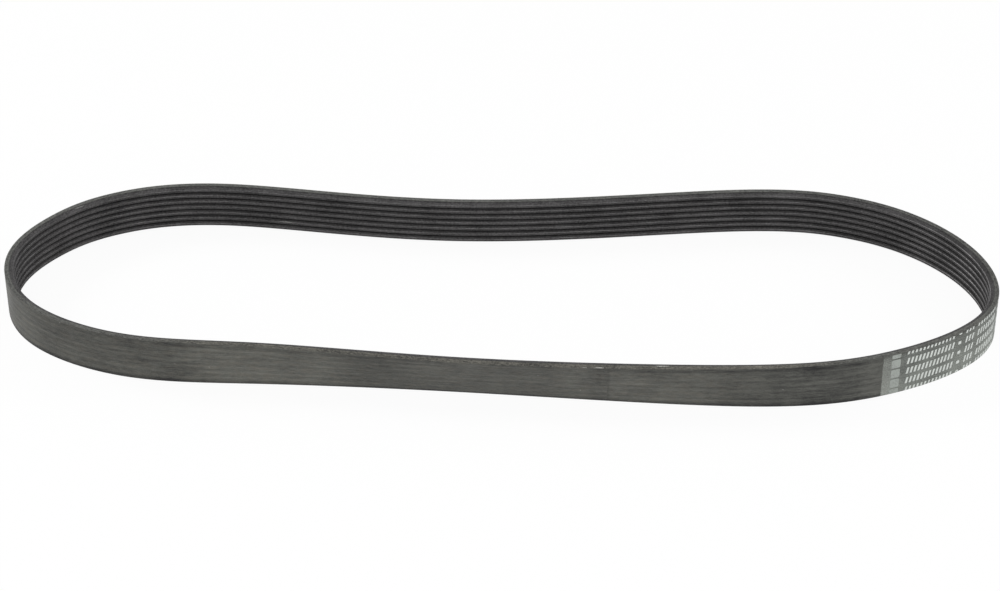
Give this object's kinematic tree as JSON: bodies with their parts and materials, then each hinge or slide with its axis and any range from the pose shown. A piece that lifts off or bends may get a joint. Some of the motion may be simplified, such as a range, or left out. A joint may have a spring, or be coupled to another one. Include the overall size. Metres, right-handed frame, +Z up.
{
  "type": "serpentine belt",
  "caption": "Endless ribbed rubber drive belt, lying on edge as a limp long loop, with a smooth back outside and lengthwise V ribs inside.",
  "frame": {"origin": "middle of the loop's outer box in plan, on the floor that its lower cut edge stands on", "axes": "+X along the loop's long way, +Z up across the belt's width, -Y towards the slack near run that leans outward"},
  "size_m": [0.4872, 0.1442, 0.025],
  "materials": {
    "rubber": "matt olive-grey rubber, woven-looking back, ground darker ribs"
  },
  "bodies": {
    "root": {"ribbed_belt": "rubber"}
  },
  "joints": []
}
